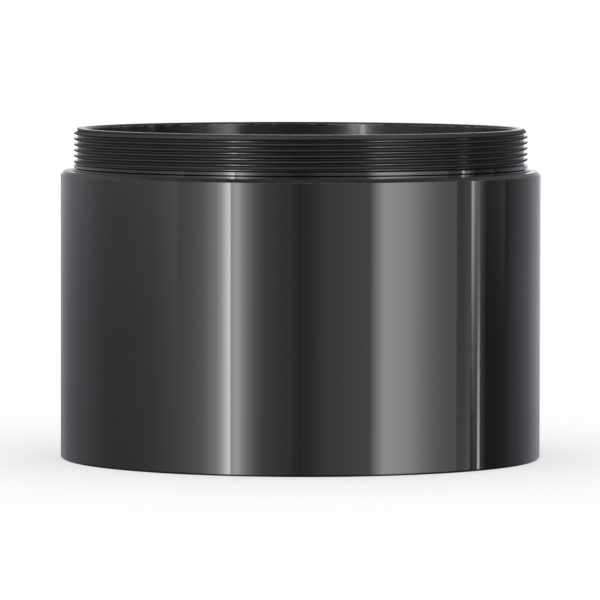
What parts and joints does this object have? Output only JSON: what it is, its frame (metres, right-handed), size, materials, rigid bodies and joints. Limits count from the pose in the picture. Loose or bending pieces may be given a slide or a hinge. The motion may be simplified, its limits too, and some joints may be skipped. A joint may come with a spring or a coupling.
{
  "type": "eyepiece barrel extender",
  "caption": "Plain glossy black barrel tube that lengthens a 2-inch eyepiece barrel, with a fine threaded nose on top and a filter thread in its foot.",
  "frame": {"origin": "centre of the foot face, where the part stands", "axes": "+Z along the optical axis towards the threaded nose; the front seen in the picture is -Y, with +X to its right"},
  "size_m": [0.0508, 0.0508, 0.0349],
  "materials": {
    "gloss_black_anodised_barrel": "turned aluminium with a deep glossy black anodised finish, matt black in the grooved bore",
    "gloss_black_anodised_ring": "turned and threaded aluminium with a glossy black anodised finish"
  },
  "bodies": {
    "root": {"barrel_tube": "gloss_black_anodised_barrel", "threaded_nose_ring": "gloss_black_anodised_ring"}
  },
  "joints": []
}
